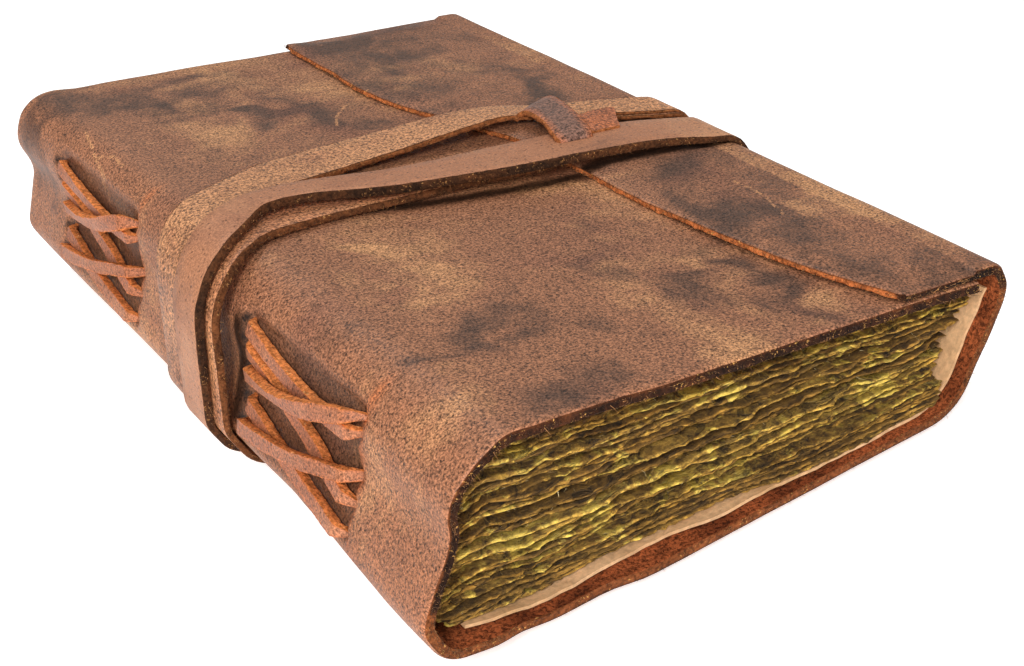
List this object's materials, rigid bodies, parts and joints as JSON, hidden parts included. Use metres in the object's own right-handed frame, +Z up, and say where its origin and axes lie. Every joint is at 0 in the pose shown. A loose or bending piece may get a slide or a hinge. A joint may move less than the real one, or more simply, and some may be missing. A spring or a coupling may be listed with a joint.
{
  "type": "leather journal",
  "caption": "Closed handmade leather journal with deckled pages, laced spine, a flap over the fore-edge and a long strap wound round it and hitched.",
  "frame": {"origin": "middle of the base that the journal lies on, under the strap's runs", "axes": "+X from the spine to the fore-edge, +Y from the tail to the head, +Z up through the closed book"},
  "size_m": [0.1654, 0.24, 0.0593],
  "materials": {
    "hide": "waxed grain, mottled brown, worn at the edges",
    "paper": "rough, torn and aged edges",
    "lining": "matt flesh side, pale tan",
    "thong": "smooth face with suede edges",
    "strap_leather": "smooth grain with fibrous cut edges"
  },
  "bodies": {
    "root": {"cover": "hide", "text_block": "paper", "liner": "lining", "tail_lacing": "thong", "head_lacing": "thong", "strap": "strap_leather"}
  },
  "joints": []
}
